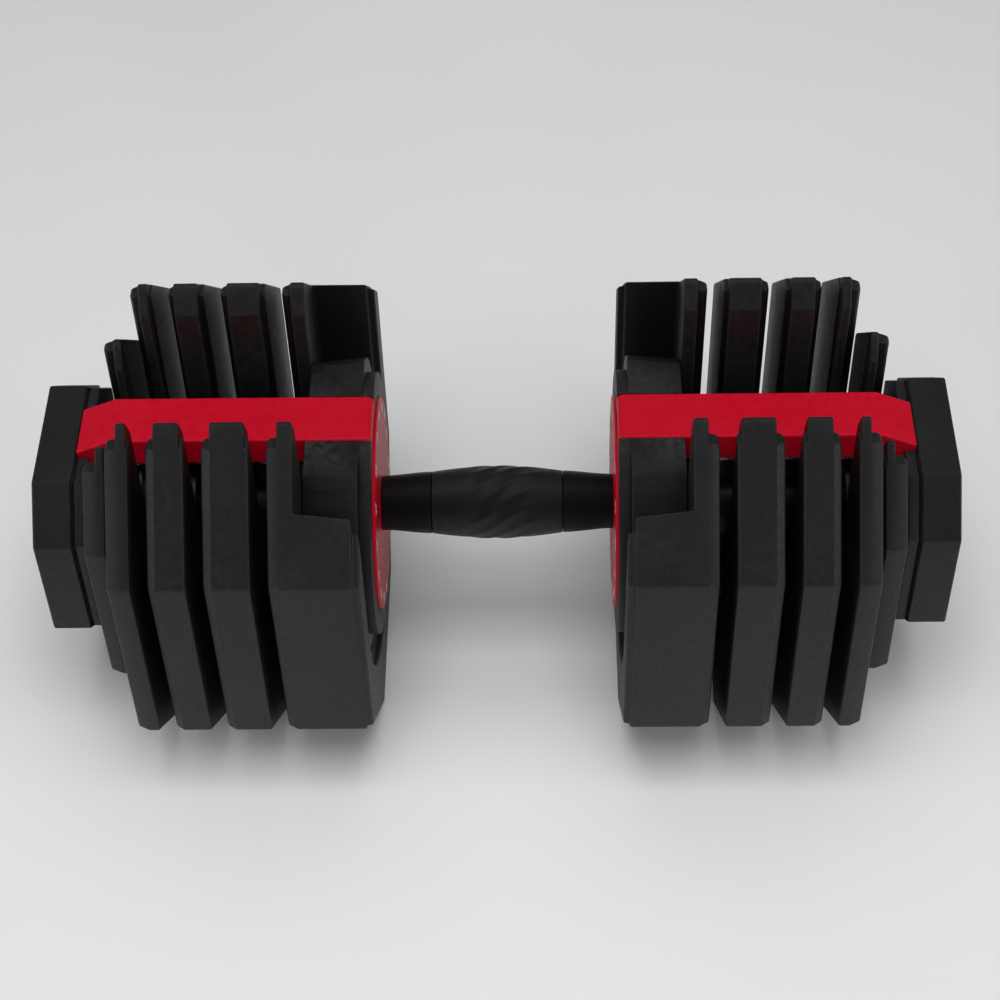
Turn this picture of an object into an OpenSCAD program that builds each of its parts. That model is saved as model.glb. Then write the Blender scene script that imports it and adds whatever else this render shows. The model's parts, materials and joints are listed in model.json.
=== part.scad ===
// Adjustable dumbbell with a twist handle. The handle turns a shaft that runs through both heads.
// Each head has five lift-off plates, and a selector disc beside each plate carries it or lets it go.
// Frame: origin on the handle's axis midway between the heads, X along the handle, Z up.
// Every piece of a head is drawn for the right side (+X), and the left side is its mirror image.

/* [Plates] */
// Width of plates 1 to 4, across the dumbbell
plate_w = 200; // [190:1:240]
// Height of plates 1 to 4
plate_h = 216; // [200:1:260]
// Corner cut of plates 1 to 4, along each side
plate_leg = 54; // [30:1:58]
// Width of plate 5
small_w = 143.4; // [130:0.1:175]
// Height of plate 5
small_h = 163.2; // [150:0.1:200]
// Corner cut of plate 5
small_leg = 36.4; // [24:0.1:44]
// Thickness of plates 1 to 5 (plate 1 without its block)
plate_t = [11.9, 21.6, 17.4, 10.7, 10.9]; // [9:0.1:30]
// Step from each plate's inner face to its thinner slot edge
tab_in = [0, 1.8, 2, 0.7, 0.5]; // [0:0.1:3]
// Step from each plate's outer face to its thinner slot edge
tab_out = [5, 4.1, 3.8, 5.4, 6.4]; // [3:0.1:7]
// Width of the thinner slot edge
tab_w = 8.9; // [7:0.1:12]
// Air between plates 1 to 4
plate_gap = 8; // [6:0.1:10]
// Air between plates 4 and 5
small_gap = 4.6; // [4:0.1:8]
// Wall of the moulded plate covers
cover_wall = 2; // [1.6:0.1:2.2]

/* [Slots] */
// Radius of the slot in plates 1 to 4
slot_r = 38; // [34:0.1:46]
// Radius of the slot in plate 5
small_slot_r = 28; // [26:0.1:32]
// How far the slot's mouth flares on each side
mouth_flare = 7; // [2:0.1:8]
// Height of the flare
mouth_h = 14; // [6:1:24]

/* [Plate 1 block] */
// How far the block reaches inwards from plate 1, round the drum
block_depth = 26.4; // [20:0.1:34]
// Thickness of the block's inner lip
block_lip_t = 3.5; // [3:0.1:5]
// Air between the drum and the block
drum_gap = 4.8; // [3:0.1:7]
// Step from the block's wall out to its inner lip's
block_lip_step = 3.8; // [2:0.1:6]

/* [Drum] */
// Radius of the drum at its inner end
drum_r = 72.6; // [66:0.1:84]
// How much smaller its radius is at the outer end
drum_taper = 2.1; // [0:0.1:3]
// Length of the drum housing
drum_len = 26; // [25:0.1:32]
// Wall of the drum housing
drum_wall = 3; // [2:0.1:4]
// Radius of the drum's cover on the handle side
rim_r = 65.5; // [62:0.1:66]
// Thickness of that cover
rim_t = 5.5; // [5.5:0.1:8]

/* [Dial] */
// Radius of the numbered dial
dial_r = 53; // [46:0.1:56]
// Thickness of the dial
dial_t = 2.5; // [2:0.1:3]
// How far the dial's face stands out of the drum's cover
dial_proud = 1.5; // [0.5:0.1:2]

/* [Handle] */
// Distance between the two dials
handle_len = 114.8; // [100:0.1:140]
// Length of the moulded grip
grip_len = 65.2; // [50:0.1:90]
// Radius of the grip at its middle
grip_r = 18.3; // [16:0.1:22]
// Radius of the grip and the tube at the grip's ends
tube_r = 15.4; // [14:0.1:18]
// Radius of the tube at the dials
tube_end_r = 13.6; // [12.5:0.1:16]
// Wall of the grip at its ends
grip_wall = 2.2; // [1.6:0.1:3]
// Size of the hexagonal shaft across its flats
shaft_af = 14; // [12:0.1:16]

/* [Bridge] */
// Width of the red bridge cover
bridge_w = 28.8; // [24:0.1:36]
// Height of the steel bridge beam
beam_h = 17; // [14:0.1:22]
// Wall of the bridge cover
bridge_wall = 2.2; // [1.6:0.1:3]
// Length of the slope at the cover's outer end
slope_len = 17.2; // [12:0.1:24]
// How far the slope comes down
slope_drop = 7.5; // [5:0.1:9]

/* [End weights] */
// Width of the end weight
end_w = 108.8; // [96:0.1:130]
// Height of the end weight
end_h = 106; // [100:0.1:126]
// Corner cut of the end weight
end_leg = 22.4; // [14:0.1:28]
// Thickness of the end weight
end_t = 19; // [16:0.1:26]
// Thickness of its backing plate
backing_t = 6; // [5:0.1:8]
// How much smaller the backing plate is on each side
backing_inset = 1.3; // [0.5:0.1:3]
// Air between plate 5 and the backing plate
backing_gap = 3.5; // [3:0.1:6]
// Wall of the end weight's cover
end_wall = 2.5; // [2:0.1:3.5]

/* [Lock] */
// Travel of the lock slider
lock_travel = 5; // [3:0.1:5]
// Radius of the notched index wheel
wheel_r = 34; // [30:0.1:35]
// Number of stations round the dial
stations = 16; // [16:1:16]

/* [Fits] */
// Clearance between a moving piece and its neighbour
clear = 0.3; // [0.2:0.05:0.4]
// Clearance round a fixed piece in its pocket
snug = 0.15; // [0.1:0.01:0.2]
// Radial clearance of a turning shaft in its bush
running = 0.05; // [0.02:0.01:0.08]

/* [Hidden] */
$fn = 96;
eps = 0.01;
SIDES = ["left", "right"];
PLATES = [1, 2, 3, 4, 5];
step = 360 / stations;

// Places along X on the right side
dial_x = handle_len / 2;
rim_x = dial_x + dial_proud;
drum_x = rim_x + rim_t;
drum_end = drum_x + drum_len;
plate_x1 = drum_end + 0.5;
plate_x2 = plate_x1 + plate_t[0] + plate_gap;
plate_x3 = plate_x2 + plate_t[1] + plate_gap;
plate_x4 = plate_x3 + plate_t[2] + plate_gap;
plate_x5 = plate_x4 + plate_t[3] + small_gap;
plate_x = [plate_x1, plate_x2, plate_x3, plate_x4, plate_x5];
block_x = plate_x1 - block_depth;
block_lip_x = block_x - block_lip_t;
backing_x = plate_x5 + plate_t[4] + backing_gap;
end_x = backing_x + backing_t;
end_face = end_x + end_t;

// Shaft: the hexagon's corner radius, and the journals turned just inside its flats
hex_r = shaft_af / 2 / cos(30);
hex_bore_r = hex_r + snug;
journal_r = shaft_af / 2 - 0.1;
thread_r = journal_r - 1;
bush_wall = 3;
bush_r = journal_r + running + bush_wall;
bush_len = 8.4;
boss_r = bush_r + 4;

// Selector discs: a lip under the plate's ledge at the stations that carry that plate
lip_gap = 3;
lip_t = 4;
flange_reach = 3.5;
flange_t = 1.5;
web_t = 2;
web_set = [4, 0, 0, 4, 4];
hub_r = 20;
small_hub_r = 12;
post_t = [3, 3, 3, 2, 2.4];
ledge_half = 4.5;
small_ledge_half = 3;
ledge_t = 5;
small_ledge_t = 4;
ledge_lift = 2;
// Stations 0 to 15, from the lightest to the heaviest, one row a plate: 1 carries it, 0 leaves it behind
carries = [
    [0, 0, 0, 0, 0, 0, 0, 0, 0, 0, 0, 0, 1, 1, 1, 1],
    [0, 0, 0, 0, 0, 0, 0, 0, 1, 1, 1, 1, 0, 1, 1, 1],
    [0, 0, 0, 0, 1, 1, 1, 1, 0, 1, 1, 1, 1, 0, 1, 1],
    [0, 0, 1, 1, 0, 0, 1, 1, 1, 0, 1, 1, 1, 1, 0, 1],
    [0, 1, 0, 1, 0, 1, 0, 1, 1, 0, 0, 1, 1, 1, 1, 1]
];

// Bridge: the beam clears the discs' flanges, and its cover fits over it
flange_r = slot_r + flange_reach;
beam_z = flange_r + 1;
beam_top = beam_z + beam_h;
bridge_top = beam_top + clear + bridge_wall;
beam_half = bridge_w / 2 - bridge_wall - clear;
cover_z = beam_z + 3.5;
beam_x = drum_x + 5.6;
slope_x = end_x - clear - slope_len;
drum_flat = bridge_top - 0.4;
groove_half = bridge_w / 2 + clear;

// Inside the drum: dial wall, slider pocket, index wheel, spring rib and cover columns
recess_x = dial_x + dial_t + clear;
pocket_x = recess_x + 1.2;
slider_x = pocket_x + clear;
slider_t = drum_x - pocket_x - 2 * clear;
hub_clear = 0.4;
dial_hub_r = hex_r + 3;
wheel_x = drum_x + 0.5;
wheel_t = 4;
notch_w = 6;
notch_d = lock_travel + 0.5;
tooth_half = 2.5;
tooth_h = 6;
tooth_z = wheel_r + 1;
slider_half = 16;
foot_half = 8;
foot_top = wheel_r + 14;
rib_z = wheel_r + 2;
rib_t = 2;
rib_half = 4;
spring_len = 10;
spring_r = 2.4;
wire_r = 0.4;
spring_turns = 5;
spring_x = wheel_x + 2.1;
tab_t = 2;
column_at = (dial_r - 5) * sin(45);
column_r = 4.5;
lip_ring_r = rim_r - 2.5;
lip_ring_t = 2;
end_wall_x = drum_end - drum_wall;

// Screws
beam_screw_r = 2.4;
beam_screw_x = [beam_x + 4, beam_x + 12];
cover_screw_r = 1.5;
end_screw_r = 2.4;
end_screw_at = [end_w * 0.31, end_h * 0.23];
end_screw_len = 14;

// Colours
black = "#262628";
dark = "#1b1b1d";
red = "#b00722";
steel = "#9da1a6";
iron = "#4c4f53";
bronze = "#a9824c";
zinc = "#c3c7cb";

// Value of a plate's size: plates 1 to 4 share the large one, plate 5 has the small one
function big_or_small(k, large, small) = k == 5 ? small : large;

// Extrudes an outline in the Y-Z plane from x0 to x1
module slab(x0, x1) {
    translate([x0, 0, 0]) rotate([90, 0, 90]) linear_extrude(x1 - x0) children();
}

// Turns a profile about the X axis: its x is the radius, its y the place along X
module turned() {
    rotate([0, 90, 0]) rotate_extrude() children();
}

// Rod along X
module rod(r, x0, x1, at = [0, 0], sides = 96) {
    translate([x0, at[0], at[1]]) rotate([0, 90, 0]) cylinder(h = x1 - x0, r = r, $fn = sides);
}

// Hexagonal bar along X
module hex_bar(r, x0, x1) {
    translate([x0, 0, 0]) rotate([0, 90, 0]) cylinder(h = x1 - x0, r = r, $fn = 6);
}

// Block given by two corners
module block(low, high) {
    translate(low) cube(high - low);
}

// Rectangle with its four corners cut at 45 degrees
module octagon(half_w, half_h, leg) {
    polygon([
        [-half_w, -half_h + leg], [-half_w + leg, -half_h],
        [half_w - leg, -half_h], [half_w, -half_h + leg],
        [half_w, half_h - leg], [half_w - leg, half_h],
        [-half_w + leg, half_h], [-half_w, half_h - leg]
    ]);
}

// The same octagon with every side moved in by g
module octagon_in(half_w, half_h, leg, g) {
    octagon(half_w - g, half_h - g, leg - g * (2 - sqrt(2)));
}

// Round-bottomed slot, open at the top, with a flared mouth
module slot(r, top, flare) {
    circle(r);
    translate([-r, 0]) square([2 * r, top + 1]);
    polygon([
        [-r, top - mouth_h], [-r - flare, top], [-r - flare, top + 1],
        [r + flare, top + 1], [r + flare, top], [r, top - mouth_h]
    ]);
}

// Both sides of the dumbbell in one node
module both() {
    children();
    mirror([1, 0, 0]) children();
}

module on_side(s) {
    if (s == "left") mirror([1, 0, 0]) children();
    else children();
}

// ---------- Plates ----------

module plate_octagon(k, g) {
    octagon_in(
        big_or_small(k, plate_w, small_w) / 2,
        big_or_small(k, plate_h, small_h) / 2,
        big_or_small(k, plate_leg, small_leg), g
    );
}

// A plate's whole shape with every face moved in by g: a thick body and its thinner slot edge
module plate_shape(k, g) {
    x0 = plate_x[k - 1];
    x1 = x0 + plate_t[k - 1];
    t0 = x0 + tab_in[k - 1];
    t1 = x1 - tab_out[k - 1];
    r = big_or_small(k, slot_r, small_slot_r);
    top = big_or_small(k, plate_h, small_h) / 2;
    slab(x0 + g, x1 - g) difference() {
        plate_octagon(k, g);
        slot(r + tab_w + g, top, 0);
        translate([-plate_w, top - tab_w - g]) square([2 * plate_w, plate_h]);
    }
    if (t1 - t0 - 2 * g > 1) slab(t0 + g, t1 - g) difference() {
        plate_octagon(k, g);
        slot(r + g, top, mouth_flare);
    }
    if (k == 1) block_shape(g);
}

// The block of plate 1 that wraps round the drum and its cover, and the block's thin inner lip
module block_shape(g) {
    inner_r = max(drum_r, rim_r) + drum_gap + g;
    outer_r = inner_r - drum_taper;
    lip_r = inner_r + block_lip_step;
    difference() {
        slab(block_lip_x + g, plate_x1 + g + 1) plate_octagon(1, g);
        translate([block_x, 0, 0]) rotate([0, 90, 0]) cylinder(h = block_depth, r1 = inner_r, r2 = outer_r);
        linear_extrude(plate_h) polygon([
            [block_x, -inner_r], [plate_x1, -outer_r], [plate_x1, outer_r], [block_x, inner_r]
        ]);
        slab(plate_x1 - eps, plate_x1 + g + 2) slot(outer_r, plate_h / 2, 0);
        slab(block_lip_x - 1, block_x + g) slot(lip_r, plate_h / 2, 0);
    }
}

// Steel tongue at the bottom of the slot: a post, and a ledge that reaches out over the disc's lip
module tongue(k, c) {
    r = big_or_small(k, slot_r, small_slot_r);
    half = big_or_small(k, ledge_half, small_ledge_half);
    low = -(r - lip_gap - lip_t - ledge_lift);
    high = low + big_or_small(k, ledge_t, small_ledge_t);
    t0 = plate_x[k - 1] + tab_in[k - 1];
    t1 = plate_x[k - 1] + plate_t[k - 1] - tab_out[k - 1];
    post_x = t0 + post_t[k - 1];
    root = -(r + tab_w + cover_wall + 4);
    block([t0 - c, -half - 2 - c, root - c], [post_x + c, half + 2 + c, high]);
    block([t0 + eps, -half, low], [t1 + web_set[k - 1] - 0.6, half, high]);
}

module plate_core(k) {
    color(iron) {
        plate_shape(k, cover_wall + snug);
        tongue(k, 0);
    }
}

module plate_cover(k) {
    color(black) difference() {
        plate_shape(k, 0);
        plate_shape(k, cover_wall);
        tongue(k, snug);
    }
}

// ---------- Selector ----------

// Where the disc's web starts, and where the disc inside it ends
function web_x(k) = plate_x[k - 1] + plate_t[k - 1] - tab_out[k - 1] + web_set[k - 1];
function disc_start(k) = k == 1 ? drum_end + clear : web_x(k - 1) + web_t;

module selector_disc(k) {
    r = big_or_small(k, slot_r, small_slot_r);
    outer = r - lip_gap;
    inner = outer - lip_t;
    flange_x = plate_x[k - 1] + plate_t[k - 1] - tab_out[k - 1] + clear;
    lip_x = plate_x[k - 1] + tab_in[k - 1] + post_t[k - 1] + 0.8;
    web_end = web_x(k) + web_t;
    this_hub_r = big_or_small(k, hub_r, small_hub_r);
    color(steel) difference() {
        union() {
            rod(this_hub_r, disc_start(k), web_x(k) + 1);
            rod(inner + 1, web_x(k), web_end);
            difference() {
                turned() polygon([
                    [inner, lip_x], [outer, lip_x], [outer, flange_x],
                    [r + flange_reach, flange_x], [r + flange_reach, flange_x + flange_t],
                    [outer, max(flange_x + flange_t, web_end)], [inner, web_end]
                ]);
                for (i = [0:stations - 1]) {
                    if (carries[k - 1][i] == 0) rotate([0, 90, 0])
                        rotate_extrude(angle = step, start = -i * step - step / 2)
                            translate([inner - 1, lip_x - 1])
                                square([flange_reach + lip_t + 5, web_end - lip_x + 2]);
                }
            }
            if (k == 5) rod(small_hub_r, web_end - 1, backing_x - clear);
        }
        hex_bar(hex_bore_r, disc_start(k) - 1, backing_x);
    }
}

module shaft() {
    color(steel) {
        hex_bar(hex_r, -(drum_end - bush_len - clear), drum_end - bush_len - clear);
        both() {
            rod(journal_r, drum_end - bush_len - clear - 1, drum_end + clear + 1);
            hex_bar(hex_r, drum_end + clear, backing_x - clear);
            rod(journal_r, backing_x - clear - 1, end_x + 0.5);
            rod(thread_r, end_x, end_x + 7.5);
        }
    }
}

module shaft_nuts() {
    color(zinc) both() difference() {
        hex_bar(thread_r + 5, end_x + 0.5, end_x + 6.5);
        rod(thread_r + running, end_x, end_x + 8);
    }
}

module handle_tube() {
    half = handle_len / 2;
    color(dark) difference() {
        turned() polygon([
            [0, -half], [tube_end_r, -half], [tube_r, -grip_len / 2], [tube_r - grip_wall, -grip_len / 2],
            [tube_r - grip_wall, grip_len / 2], [tube_r, grip_len / 2], [tube_end_r, half], [0, half]
        ]);
        hex_bar(hex_bore_r, -half - 1, half + 1);
    }
}

// The grip swells along one arc from its ends to its middle
module grip_sleeve() {
    swell = grip_r - tube_r;
    half = grip_len / 2 - clear / 2;
    arc_r = (half * half + swell * swell) / (2 * swell);
    color(black) turned() intersection() {
        translate([grip_r - arc_r, 0]) circle(arc_r, $fn = 720);
        translate([tube_r - grip_wall + running, -half]) square([grip_r, 2 * half]);
    }
}

module dial() {
    edge = 0.6;
    color(red) difference() {
        union() {
            turned() polygon([
                [0, dial_x], [dial_r - edge, dial_x], [dial_r, dial_x + edge],
                [dial_r, dial_x + dial_t], [0, dial_x + dial_t]
            ]);
            rod(dial_hub_r, dial_x + dial_t - 1, wheel_x);
        }
        hex_bar(hex_bore_r, dial_x - 1, wheel_x + 1);
    }
}

module index_wheel() {
    color(steel) difference() {
        union() {
            rod(wheel_r, wheel_x, wheel_x + wheel_t);
            rod(dial_hub_r, wheel_x + wheel_t - 1, drum_end - bush_len - clear);
        }
        for (i = [0:stations - 1]) rotate([i * step, 0, 0]) block(
            [wheel_x - 1, -notch_w / 2, wheel_r - notch_d],
            [wheel_x + wheel_t + 1, notch_w / 2, wheel_r + 2]
        );
        hex_bar(hex_bore_r, wheel_x - 1, drum_end);
    }
}

// ---------- Lock ----------

// Flat slider round the dial's hub: its tooth drops into the wheel's notch as its foot comes out below
module lock_slider() {
    window_r = dial_hub_r + hub_clear;
    back = slider_x + slider_t;
    spring_seat = rib_z + rib_t + spring_len;
    color(zinc) difference() {
        union() {
            block([slider_x, -slider_half, -foot_top], [back, slider_half, tooth_z + tooth_h]);
            block([slider_x, -foot_half, -(rim_r - 0.2)], [back, foot_half, -foot_top + 1]);
            block([back - 1, -tooth_half, tooth_z], [wheel_x + wheel_t - 0.2, tooth_half, tooth_z + tooth_h]);
            block([back - 1, -rib_half, -spring_seat - tab_t], [spring_x + 3, rib_half, -spring_seat]);
        }
        rod(window_r, slider_x - 1, back + 1);
        rod(window_r, slider_x - 1, back + 1, [0, lock_travel]);
        block([slider_x - 1, -window_r, 0], [back + 1, window_r, lock_travel]);
    }
}

// Ring of points on the wire's section at angle a along the coil
function coil_ring(a, z, sides) = [
    for (j = [0:sides - 1]) let (b = 360 * j / sides, q = spring_r + wire_r * cos(b))
        [q * cos(a), q * sin(a), z + wire_r * sin(b)]
];

module lock_spring() {
    sides = 8;
    per_turn = 16;
    rings = spring_turns * per_turn;
    rise = spring_len - 2 * wire_r;
    points = [
        for (i = [0:rings]) each coil_ring(360 * i / per_turn, rise * i / rings, sides)
    ];
    walls = [
        for (i = [0:rings - 1]) for (j = [0:sides - 1]) let (m = (j + 1) % sides)
            [i * sides + j, (i + 1) * sides + j, (i + 1) * sides + m, i * sides + m]
    ];
    first = [for (j = [0:sides - 1]) j];
    last = [for (j = [0:sides - 1]) rings * sides + sides - 1 - j];
    color(steel) translate([spring_x, 0, -(rib_z + rib_t + spring_len) + wire_r])
        polyhedron(points, concat(walls, [first], [last]), convexity = 10);
}

// ---------- Drum ----------

module drum_housing() {
    end_r = drum_r - drum_taper;
    inner_r = drum_r - drum_wall;
    color(black) difference() {
        union() {
            difference() {
                translate([drum_x, 0, 0]) rotate([0, 90, 0]) cylinder(h = drum_len, r1 = drum_r, r2 = end_r);
                intersection() {
                    translate([drum_x + lip_ring_t, 0, 0]) rotate([0, 90, 0])
                        cylinder(h = drum_len - drum_wall - lip_ring_t, r1 = inner_r, r2 = end_r - drum_wall);
                    block([drum_x, -drum_r, -drum_r], [drum_end, drum_r, drum_flat - drum_wall]);
                }
                rod(lip_ring_r, drum_x - 1, drum_x + lip_ring_t + 1);
            }
            rod(boss_r, drum_end - bush_len, end_wall_x + 1);
            block([beam_x, -beam_half, beam_z - 6], [end_wall_x + 1, beam_half, beam_z]);
            block([wheel_x, -rib_half, -rib_z - rib_t], [end_wall_x + 1, rib_half, -rib_z]);
            block([spring_x + 8, -1.5, -(end_r - 1)], [end_wall_x + 1, 1.5, -rib_z]);
            for (y = [-1, 1]) for (z = [-1, 1]) {
                rod(column_r, drum_x + clear, end_wall_x + 1, [y * column_at, z * column_at]);
            }
        }
        block([drum_x - 1, -drum_r, drum_flat], [drum_end + 1, drum_r, drum_r + 1]);
        block([drum_x - 1, -groove_half, cover_z - clear], [drum_end + 1, groove_half, drum_r + 1]);
        block([beam_x - 1, -beam_half - snug, beam_z], [drum_end + 1, beam_half + snug, drum_r]);
        rod(bush_r + running, drum_end - bush_len - 1, drum_end + 1);
        for (x = beam_screw_x) {
            translate([x, 0, beam_z - 7]) cylinder(h = 8, r = beam_screw_r + 0.1, $fn = 32);
        }
        for (y = [-1, 1]) for (z = [-1, 1]) {
            rod(cover_screw_r + 0.1, drum_x - 1, drum_x + 12, [y * column_at, z * column_at], 32);
        }
    }
}

module drum_cover() {
    spigot_r = lip_ring_r - clear;
    color(black) difference() {
        union() {
            rod(rim_r, rim_x, drum_x);
            difference() {
                rod(spigot_r, drum_x - 1, drum_x + lip_ring_t);
                rod(spigot_r - 2.5, drum_x, drum_x + lip_ring_t + 1);
            }
        }
        rod(dial_r + 0.4, rim_x - 1, recess_x);
        rod(dial_hub_r + hub_clear, rim_x, drum_x + 1);
        block([rim_x - 1, -rim_r, drum_flat], [drum_x + 3, rim_r, rim_r + 1]);
        block([rim_x - 1, -groove_half, dial_r + 1 - clear], [drum_x + 3, groove_half, rim_r + 1]);
        block([drum_x, -groove_half, cover_z - clear], [drum_x + 3, groove_half, rim_r]);
        block([pocket_x, -slider_half - clear, -foot_top - lock_travel - clear],
            [drum_x + 3, slider_half + clear, tooth_z + tooth_h + 1]);
        block([pocket_x, -foot_half - clear, -rim_r - 1], [drum_x + 3, foot_half + clear, -foot_top]);
        for (y = [-1, 1]) for (z = [-1, 1]) {
            rod(cover_screw_r + 0.2, recess_x - 1, drum_x + 1, [y * column_at, z * column_at], 32);
            rod(2 * cover_screw_r + 0.2, recess_x - 1, recess_x + 2, [y * column_at, z * column_at], 32);
        }
    }
}

module drum_cover_screws() {
    color(zinc) both() for (y = [-1, 1]) for (z = [-1, 1]) {
        rod(2 * cover_screw_r, recess_x + 0.2, recess_x + 2, [y * column_at, z * column_at], 32);
        rod(cover_screw_r, recess_x + 1, drum_x + 11, [y * column_at, z * column_at], 32);
    }
}

// ---------- Bridge ----------

// Side view of the bridge's outer skin, moved in by g at the top and the slope
module bridge_side(g, x0, z0, x1) {
    fall = slope_drop / slope_len;
    shift = g * tan(atan(fall) / 2);
    polygon([
        [x0, z0], [x1, z0], [x1, bridge_top - g - fall * (x1 - slope_x + shift)],
        [slope_x - shift, bridge_top - g], [x0, bridge_top - g]
    ]);
}

// Extrudes a side view (X and Z) over a width
module across(half) {
    translate([0, half, 0]) rotate([90, 0, 0]) linear_extrude(2 * half) children();
}

module bridge_cover() {
    color(red) difference() {
        union() {
            across(bridge_w / 2) bridge_side(0, drum_x, cover_z, end_x - clear);
            block([rim_x, -bridge_w / 2, dial_r + 1], [drum_x + 5, bridge_w / 2, bridge_top]);
        }
        across(beam_half + clear) bridge_side(bridge_wall, drum_x + 2.2, 0, end_x);
    }
}

module bridge_beam() {
    color(steel) difference() {
        across(beam_half) bridge_side(bridge_wall + clear, beam_x, beam_z, end_x - 0.1);
        for (x = beam_screw_x) {
            translate([x, 0, beam_z - 1]) cylinder(h = beam_h + 2, r = beam_screw_r + 0.2, $fn = 32);
            translate([x, 0, beam_top - 5]) cylinder(h = 6, r = 2 * beam_screw_r + 0.2, $fn = 32);
        }
    }
}

module beam_screws() {
    color(zinc) both() for (x = beam_screw_x) {
        translate([x, 0, beam_top - 4.9]) cylinder(h = 4.7, r = 2 * beam_screw_r, $fn = 32);
        translate([x, 0, beam_z - 5.5]) cylinder(h = beam_h + 1.6, r = beam_screw_r, $fn = 32);
    }
}

// ---------- Ends ----------

module end_octagon(g) {
    octagon_in(end_w / 2, end_h / 2, end_leg, g);
}

module end_backing() {
    ring_t = 0.8;
    color(black) difference() {
        union() {
            slab(backing_x, end_x - ring_t) end_octagon(backing_inset);
            slab(end_x - ring_t - 1, end_x) end_octagon(backing_inset + 2.6);
        }
        rod(bush_r + running, backing_x - 1, end_x + 1);
        block([backing_x - 1, -groove_half, cover_z - clear], [end_x + 1, groove_half, end_h]);
        block([backing_x - 1, -beam_half - snug, beam_z], [end_x + 1, beam_half + snug, end_h]);
        for (y = [-1, 1]) for (z = [-1, 1]) {
            at = [y * end_screw_at[0], z * end_screw_at[1]];
            rod(end_screw_r + 0.2, backing_x - 1, end_x + 1, at, 32);
            rod(2 * end_screw_r + 0.2, backing_x - 1, backing_x + 3, at, 32);
        }
    }
}

module end_core() {
    color(iron) difference() {
        slab(end_x, end_face - end_wall - snug) end_octagon(end_wall + snug);
        rod(thread_r + 6.5, end_x - 1, end_x + 9);
        for (y = [-1, 1]) for (z = [-1, 1]) {
            at = [y * end_screw_at[0], z * end_screw_at[1]];
            rod(end_screw_r + 0.1, end_x - 1, end_x + end_screw_len - 4, at, 32);
        }
    }
}

module end_cover() {
    color(black) difference() {
        slab(end_x, end_face) end_octagon(0);
        slab(end_x - 1, end_face - end_wall) end_octagon(end_wall);
    }
}

module end_screws() {
    color(zinc) both() for (y = [-1, 1]) for (z = [-1, 1]) {
        at = [y * end_screw_at[0], z * end_screw_at[1]];
        rod(2 * end_screw_r, backing_x + 0.2, backing_x + 3, at, 32);
        rod(end_screw_r, backing_x + 1, backing_x + 1 + end_screw_len, at, 32);
    }
}

// Plain bushes: one in each drum's outer wall, one in each end's backing plate
module shaft_bushes() {
    color(bronze) both() difference() {
        union() {
            rod(bush_r, drum_end - bush_len, drum_end);
            rod(bush_r, backing_x, end_x);
        }
        rod(journal_r + running, drum_end - bush_len - 1, end_x + 1);
    }
}

shaft();
handle_tube();
grip_sleeve();
shaft_nuts();
shaft_bushes();
beam_screws();
drum_cover_screws();
end_screws();
for (s = SIDES) {
    on_side(s) dial();
    on_side(s) index_wheel();
    on_side(s) lock_slider();
    on_side(s) lock_spring();
    on_side(s) drum_housing();
    on_side(s) drum_cover();
    on_side(s) bridge_beam();
    on_side(s) bridge_cover();
    on_side(s) end_backing();
    on_side(s) end_core();
    on_side(s) end_cover();
    for (k = PLATES) {
        on_side(s) selector_disc(k);
        on_side(s) plate_cover(k);
        on_side(s) plate_core(k);
    }
}
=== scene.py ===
"""Adjustable dumbbell: its finished pieces, their materials, the light and the camera.

Lengths are in metres. Pieces of a head are drawn for the right side (+X), and the left side is mirrored.
"""
import json
import math

import bmesh
import bpy
from mathutils import Matrix, Vector


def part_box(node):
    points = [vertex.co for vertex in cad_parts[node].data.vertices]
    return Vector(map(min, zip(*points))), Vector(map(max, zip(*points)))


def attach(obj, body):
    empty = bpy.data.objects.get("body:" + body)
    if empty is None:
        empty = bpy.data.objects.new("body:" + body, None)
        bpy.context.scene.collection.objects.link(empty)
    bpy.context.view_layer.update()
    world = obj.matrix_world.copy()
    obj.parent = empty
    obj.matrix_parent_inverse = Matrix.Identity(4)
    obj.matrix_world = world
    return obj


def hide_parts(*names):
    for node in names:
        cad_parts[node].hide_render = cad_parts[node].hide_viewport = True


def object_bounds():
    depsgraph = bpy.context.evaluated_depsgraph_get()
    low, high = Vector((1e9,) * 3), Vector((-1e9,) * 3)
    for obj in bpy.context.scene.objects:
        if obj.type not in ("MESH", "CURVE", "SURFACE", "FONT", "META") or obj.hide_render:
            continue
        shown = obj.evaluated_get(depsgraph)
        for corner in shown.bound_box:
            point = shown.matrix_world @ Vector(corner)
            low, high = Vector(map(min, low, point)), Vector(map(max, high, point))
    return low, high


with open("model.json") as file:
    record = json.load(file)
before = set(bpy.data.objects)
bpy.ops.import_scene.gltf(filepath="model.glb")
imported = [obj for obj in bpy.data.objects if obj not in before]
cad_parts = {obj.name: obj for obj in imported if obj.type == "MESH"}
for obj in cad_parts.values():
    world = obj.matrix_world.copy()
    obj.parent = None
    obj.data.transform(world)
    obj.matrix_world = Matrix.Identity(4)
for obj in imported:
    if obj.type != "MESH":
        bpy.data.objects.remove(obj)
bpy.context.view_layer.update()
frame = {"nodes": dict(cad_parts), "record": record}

RECORD = frame["record"]
SLOT_OF = {part["node"]: part["material_slot"] for part in RECORD["subparts"]}
BODY_OF = {node: body for body, nodes in RECORD["behaviour"]["bodies"].items() for node in nodes}
SIDES = ("left", "right")
PLATES = (1, 2, 3, 4, 5)
MM = 0.001

# Edges: over the first angle they are rounded, between the two they only stay crisp
ROUNDED_OVER = math.radians(32)
CRISP_OVER = math.radians(24)
EDGE_SEGMENTS = 3
SAME_PLACE = 1e-6

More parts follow.
